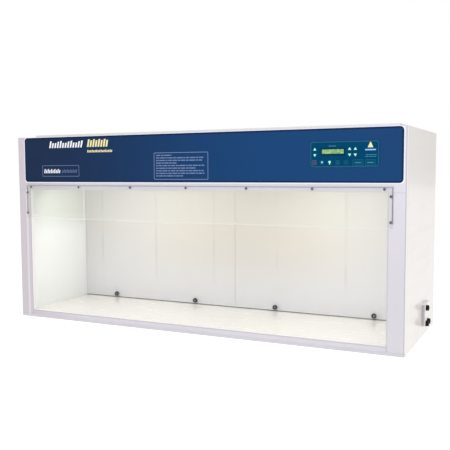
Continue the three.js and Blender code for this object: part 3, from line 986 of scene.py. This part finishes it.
slantedBars = {
    # plain slanted bars stand where a name and a number would be printed; the box is x0, x1, z0, z1
    "fascia_bars_white": {"ink": whiteInk, "box": (-0.727, -0.534, 0.803, 0.834), "count": 13,
                          "share": 0.60, "lean": 0.007, "heights": (1.0, 0.72, 0.72, 0.9)},
    "fascia_bars_yellow": {"ink": yellowInk, "box": (-0.511, -0.395, 0.804, 0.838), "count": 8,
                           "share": 0.66, "lean": 0.007, "heights": (1.0, 0.86)},
    "fascia_bars_small": {"ink": yellowInk, "box": (-0.510, -0.372, 0.7795, 0.7905), "count": 17,
                          "share": 0.66, "lean": 0.002, "heights": (1.0, 0.8, 0.9)},
    "maker_plate_bars_light": {"ink": whiteInk, "box": (-0.760, -0.664, 0.687, 0.706), "count": 10,
                               "share": 0.62, "lean": 0.004, "heights": (1.0, 0.75)},
    "maker_plate_bars_dim": {"ink": greyInk, "box": (-0.656, -0.568, 0.688, 0.704), "count": 10,
                             "share": 0.58, "lean": 0.004, "heights": (0.8, 0.95)},
}


def slantedRow(bars):
    left, right, foot, top = bars["box"]
    step = (right - left) / bars["count"]
    shapes = []
    for index in range(bars["count"]):
        x0 = left + index * step
        x1 = x0 + step * bars["share"]
        share = bars["heights"][index % len(bars["heights"])]
        z1 = foot + (top - foot) * share
        lean = bars["lean"] * share
        shapes.append([(x0, foot), (x1, foot), (x1 + lean, z1), (x0 + lean, z1)])
    return shapes


for name, bars in slantedBars.items():
    printed(name, slantedRow(bars), bars["ink"], labelFace)

plate = {"box": (-0.7705, -0.5565, 0.671, 0.723), "radius": 0.004, "line": 0.003}
printedRing("maker_plate_outline", plate["box"], plate["radius"], plate["line"], greyInk, labelFace)

notes = {
    "box": (-0.1585, 0.1045, 0.657, 0.773), "line": 0.0030, "radius": 0.005,
    "thick": 0.0050, "margin": 0.011, "gap": 0.0032, "shortest": 0.004,
    "lengths": (0.32, 0.97, 0.95, 0.42, 0.97, 0.80, 0.96, 0.97, 0.55),
    "dashes": (0.021, 0.013, 0.029, 0.009, 0.017, 0.024, 0.011),
}


def notesLines(settings):
    # rows of short dashes where small print would be
    x0, x1, z0, z1 = settings["box"]
    margin = settings["margin"]
    pitch = (z1 - z0 - 1.6 * margin) / len(settings["lengths"])
    shapes = []
    for row, share in enumerate(settings["lengths"]):
        top = z1 - 0.9 * margin - row * pitch
        left = x0 + margin
        right = left + (x1 - x0 - 2 * margin) * share
        while left < right - settings["shortest"]:
            dash = settings["dashes"][len(shapes) % len(settings["dashes"])]
            end = min(left + dash, right)
            shapes.append(rectangle(left, end, top - settings["thick"], top))
            left = end + settings["gap"]
    return shapes


printedRing("notes_outline", notes["box"], notes["radius"], notes["line"], noteInk, labelFace)
printed("notes_lines", notesLines(notes), noteInk, labelFace)
print("fascia printed")


# keypad prints

keypad = {
    "ringInset": 0.0008, "ringLine": 0.0036, "radius": 0.0105,
    # bars give x0, x1, z0, z1 and the radius of their corners
    "caption": (0.620, 0.649, 0.7835, 0.7865, 0.0012),
    "triangle": ((0.7705, 0.7775), (0.7915, 0.7775), (0.7825, 0.7975), (0.7795, 0.7975)),
    "bar": (0.7605, 0.8015, 0.7665, 0.7715, 0.0015),
    "lines": ((0.7640, 0.7490, (0.009, 0.007, 0.012, 0.005)),
              (0.7615, 0.7425, (0.011, 0.006, 0.008, 0.009))),
    "lineThick": 0.003, "lineGap": 0.0022,
}
displayWindow = {
    # the opening in the overlay and how far the dark mask covers it at the sides, foot and top
    "opening": (0.5905, 0.6825, 0.7505, 0.7760), "grown": 0.0022, "height": 0.0006,
    "sides": 0.0030, "foot": 0.0054, "top": 0.0034, "outerRadius": 0.003, "innerRadius": 0.0012,
}


def softBar(a0, a1, b0, b1, radius):
    return roundedOutline(a0, a1, b0, b1, radius, 2)


def printOutline(name, node, settings, finish, body="cabinet"):
    # a rounded line just inside a node's own outline
    low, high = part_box(node)
    inset = settings["ringInset"]
    box = (low.x + inset, high.x - inset, low.z + inset, high.z - inset)
    printedRing(name, box, settings["radius"], settings["ringLine"], finish, low.y, body)


def printKeypad(settings):
    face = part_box("keypad_overlay")[0].y
    printOutline("keypad_outline", "keypad_overlay", settings, tealInk)
    printed("keypad_caption", [softBar(*settings["caption"])], duskInk, face)
    printed("status_triangle", [settings["triangle"]], yellowInk, face)
    printed("status_bar", [softBar(*settings["bar"])], skyInk, face)
    dashes = []
    for left, foot, lengths in settings["lines"]:
        for length in lengths:
            dashes.append(rectangle(left, left + length, foot, foot + settings["lineThick"]))
            left += length + settings["lineGap"]
    printed("status_lines", dashes, duskInk, face)


def maskDisplay(window):
    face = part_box("keypad_overlay")[0].y
    x0, x1, z0, z1 = window["opening"]
    grown = window["grown"]
    sides = window["sides"]
    outer = roundedOutline(x0 - grown, x1 + grown, z0 - grown, z1 + grown, window["outerRadius"])
    inner = roundedOutline(x0 + sides, x1 - sides, z0 + window["foot"], z1 - window["top"],
                           window["innerRadius"])
    bm = bmesh.new()
    addRing(bm, outer, inner, face - window["height"], face - inkLayer["gap"])
    addPiece("display_bezel", bm, bezelPlastic)


printKeypad(keypad)
maskDisplay(displayWindow)

symbols = {
    # sizes of the marks on the keys, from each key's centre
    "arrow": {"half": 0.0060, "rise": 0.0100, "apart": 0.0014},
    "power": {"outer": 0.0056, "inner": 0.0036, "gapStart": 120, "sweep": 300,
              "stem": (-0.0008, 0.0008, 0.0005, 0.006)},
    "uv": {"radius": 0.0042, "up": 0.001},
    "bulb": {"radius": 0.0046, "up": 0.0018, "base": (-0.002, 0.002, -0.0075, -0.0035)},
    "fan": {"outer": 0.0075, "inner": 0.0060, "blade": 0.0019, "reach": 0.0028,
            "turns": (0.5, 2.6, 4.7)},
    "timer": {"outer": 0.0068, "inner": 0.0056},
    "bar": (-0.012, 0.012, -0.0018, 0.0018, 0.001),
    "powerRing": {"ringInset": 0.0008, "ringLine": 0.002, "radius": 0.003},
    "keyRing": {"ringInset": 0.0008, "ringLine": 0.0014, "radius": 0.003},
}


def disc(x, z, radius, steps=20):
    return [(x + radius * math.cos(2 * math.pi * step / steps),
             z + radius * math.sin(2 * math.pi * step / steps)) for step in range(steps)]


def ringBand(outer, inner, start=0, sweep=360, steps=24):
    # a round band as quads, whole or part
    def at(radius, step):
        angle = math.radians(start + sweep * step / steps)
        return radius * math.cos(angle), radius * math.sin(angle)
    return [[at(inner, step), at(outer, step), at(outer, step + 1), at(inner, step + 1)]
            for step in range(steps)]


def keyPrint(key, suffix, shapes, finish):
    # the shapes are drawn round the key's own centre
    centre = centreOf(key)
    placed = [[(centre.x + a, centre.z + b) for a, b in shape] for shape in shapes]
    printed(f"{key}_{suffix}", placed, finish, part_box(key)[0].y, key)


def printKeys(marks):
    arrow = marks["arrow"]
    for column in ("left", "middle", "right"):
        for direction, sign in (("up", 1), ("down", -1)):
            foot = sign * (arrow["apart"] - arrow["rise"] / 2)
            tip = sign * (arrow["apart"] + arrow["rise"] / 2)
            shape = [(-arrow["half"], foot), (arrow["half"], foot), (0, tip)]
            keyPrint(f"{column}_{direction}_key", "arrow", [shape], mintInk)
    power = marks["power"]
    powerBand = ringBand(power["outer"], power["inner"], power["gapStart"], power["sweep"])
    printOutline("power_key_outline", "power_key", marks["powerRing"], redInk, "power_key")
    keyPrint("power_key", "symbol", powerBand + [rectangle(*power["stem"])], redInk)
    keyPrint("uv_key", "symbol", [disc(0, marks["uv"]["up"], marks["uv"]["radius"])], skyInk)
    bulb = marks["bulb"]
    glass = disc(0, bulb["up"], bulb["radius"])
    keyPrint("lamp_key", "bulb", [glass, rectangle(*bulb["base"])], mintInk)
    fan = marks["fan"]
    blades = [disc(fan["reach"] * math.cos(a), fan["reach"] * math.sin(a), fan["blade"], 12)
              for a in fan["turns"]]
    keyPrint("fan_key", "symbol", ringBand(fan["outer"], fan["inner"]) + blades, tealInk)
    keyPrint("timer_key", "symbol", ringBand(marks["timer"]["outer"], marks["timer"]["inner"]), tealInk)
    for key in ("mute_key", "enter_key"):
        printOutline(f"{key}_outline", key, marks["keyRing"], tealInk, key)
        keyPrint(key, "bar", [softBar(*marks["bar"])], duskInk)


printKeys(symbols)
print("keypad printed")


# service box and its fittings

gland = {
    "flange": 0.0124, "nutHigh": 0.0035, "dome": 0.0114, "bore": 0.0042, "boreDeep": 0.008,
    "high": 0.0119, "segments": 48, "ribs": (12, 0.0010), "ribFoot": 0.0005,
}


def makeGlandMesh(settings):
    # sealing nut, ribbed dome and a dark bore; local z runs outwards
    flange = settings["flange"]
    dome = settings["dome"]
    bore = settings["bore"]
    high = settings["high"]
    nutHigh = settings["nutHigh"]
    profile = [
        (0, 0), (flange, 0), (flange, 0.0006), (flange, nutHigh), (flange - 0.0006, nutHigh + 0.0005),
        (dome, nutHigh + 0.0005), (dome, high - 0.0030), (dome - 0.0006, high - 0.0012),
        (dome - 0.0020, high), (bore + 0.0007, high), (bore, high - 0.0006),
        (bore, high - settings["boreDeep"]), (0, high - settings["boreDeep"]),
    ]
    bm = bmesh.new()
    ribs = (*settings["ribs"], settings["ribFoot"], nutHigh + 0.0001)
    addTurned(bm, profile, settings["segments"], ribs)
    return makeMesh("glandMesh", bm, blackMoulding, sharpAngle=35)


glandMesh = makeGlandMesh(gland)
for index in range(1, 4):
    cadFitting = f"service_fitting_{index}"
    centre = centreOf(cadFitting)
    centre.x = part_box(cadFitting)[0].x
    place = Matrix.Translation(centre) @ outwards["right"]
    fitting = addMesh(f"service_gland_{index}", glandMesh, "cabinet", place)
    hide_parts(cadFitting)

serviceBox = {"corner": 0.017, "cornerSteps": 8, "soften": 0.003}


def makeServiceBox(settings):
    low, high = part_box("service_box")
    outline = roundedOutline(low.y, high.y, low.z, high.z, settings["corner"], settings["cornerSteps"])
    bm = bmesh.new()
    addPrism(bm, outline, high.x, low.x, "x", settings["soften"])
    shell = addPiece("service_box_shell", bm, serviceShell)
    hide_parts("service_box")


makeServiceBox(serviceBox)
print("service box fitted")


# lamp reflector under the ceiling

reflector = {
    "halfLength": 0.570, "y0": -0.284, "y1": -0.191, "lip": 0.010, "thick": 0.0008, "gap": 0.0003,
}


def makeReflector(settings):
    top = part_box("chamber_ceiling")[0].z - settings["gap"]
    lip = settings["lip"]
    outer = [(settings["y0"], top - lip), (settings["y0"] + lip, top), (settings["y1"] - lip, top),
             (settings["y1"], top - lip)]
    inner = [(y, z - settings["thick"]) for y, z in reversed(outer)]
    bm = bmesh.new()
    addPrism(bm, outer + inner, -settings["halfLength"], settings["halfLength"], "x")
    addPiece("lamp_reflector", bm, ceilingSheet)


makeReflector(reflector)


# stage: floor and studio light

stageLook = {
    "floorHalf": 30,
    "floorTop": -0.0005,
    "floorFoot": -0.02,
    "floorTone": 0.4,
    "floorGlow": 0.76,     # keeps the paper white right up to the cabinet
    "backdrop": 1.0,       # seen behind the cabinet
    "fill": 0.64,          # lights the cabinet from all round
}


def makeFloor(settings):
    half = settings["floorHalf"]
    paper = Finish("studioPaper", roughness=0.9, baseColor=(settings["floorTone"],) * 3,
                   emissionColor=(1.0, 1.0, 1.0), emissionStrength=settings["floorGlow"])
    bm = bmesh.new()
    addPrism(bm, rectangle(-half, half, -half, half), settings["floorFoot"], settings["floorTop"], "z")
    floor = bpy.data.objects.new("studioFloor", makeMesh("studioFloor", bm, paper.material))
    bpy.context.scene.collection.objects.link(floor)


lights = [
    # name, place, aim, width, height, watts, colour
    ("overheadSoft", (0.3, -1.6, 3.4), (0, 0, 0.3), 4.0, 3.0, 34, (1.0, 0.99, 0.98)),
    ("frontRightSoft", (0.62, -2.1, 1.2), (0.5, -0.3, 0.5), 1.6, 1.2, 5, (0.82, 0.87, 1.0)),
    ("rightSoft", (4.2, -1.0, 2.0), (0.9, 0, 0.4), 2.4, 2.4, 14, (1.0, 0.98, 0.95)),
    ("chamberGlowLeft", (-0.46, -0.2, 0.605), (-0.46, 0.15, 0.22), 0.64, 0.14, 1.0, (1.0, 0.998, 0.99)),
    ("chamberGlowRight", (0.56, -0.2, 0.605), (0.56, 0.15, 0.22), 0.46, 0.14, 0.96, (1.0, 0.998, 0.99)),
]


def makeLights(rows):
    for name, place, aim, across, up, watts, colour in rows:
        data = bpy.data.lights.new(name, "AREA")
        data.shape = "RECTANGLE"
        data.size = across
        data.size_y = up
        data.energy = watts
        data.color = colour
        lamp = bpy.data.objects.new(name, data)
        lamp.visible_camera = False
        lamp.visible_glossy = not name.startswith("chamber")
        turn = (Vector(aim) - Vector(place)).to_track_quat("-Z", "Y").to_matrix().to_4x4()
        lamp.matrix_world = Matrix.Translation(place) @ turn
        bpy.context.scene.collection.objects.link(lamp)


def makeBackdrop(settings):
    world = bpy.data.worlds.new("studioWorld")
    world.use_nodes = True
    tree = world.node_tree
    seen = tree.nodes["Background"]
    fill = tree.nodes.new("ShaderNodeBackground")
    for background, strength in ((seen, settings["backdrop"]), (fill, settings["fill"])):
        background.inputs["Color"].default_value = (1, 1, 1, 1)
        background.inputs["Strength"].default_value = strength
    paths = tree.nodes.new("ShaderNodeLightPath")
    blend = tree.nodes.new("ShaderNodeMixShader")
    tree.links.new(paths.outputs["Is Camera Ray"], blend.inputs[0])
    tree.links.new(fill.outputs[0], blend.inputs[1])
    tree.links.new(seen.outputs[0], blend.inputs[2])
    tree.links.new(blend.outputs[0], tree.nodes["World Output"].inputs["Surface"])
    bpy.context.scene.world = world


makeFloor(stageLook)
makeLights(lights)
makeBackdrop(stageLook)
print("stage lit")
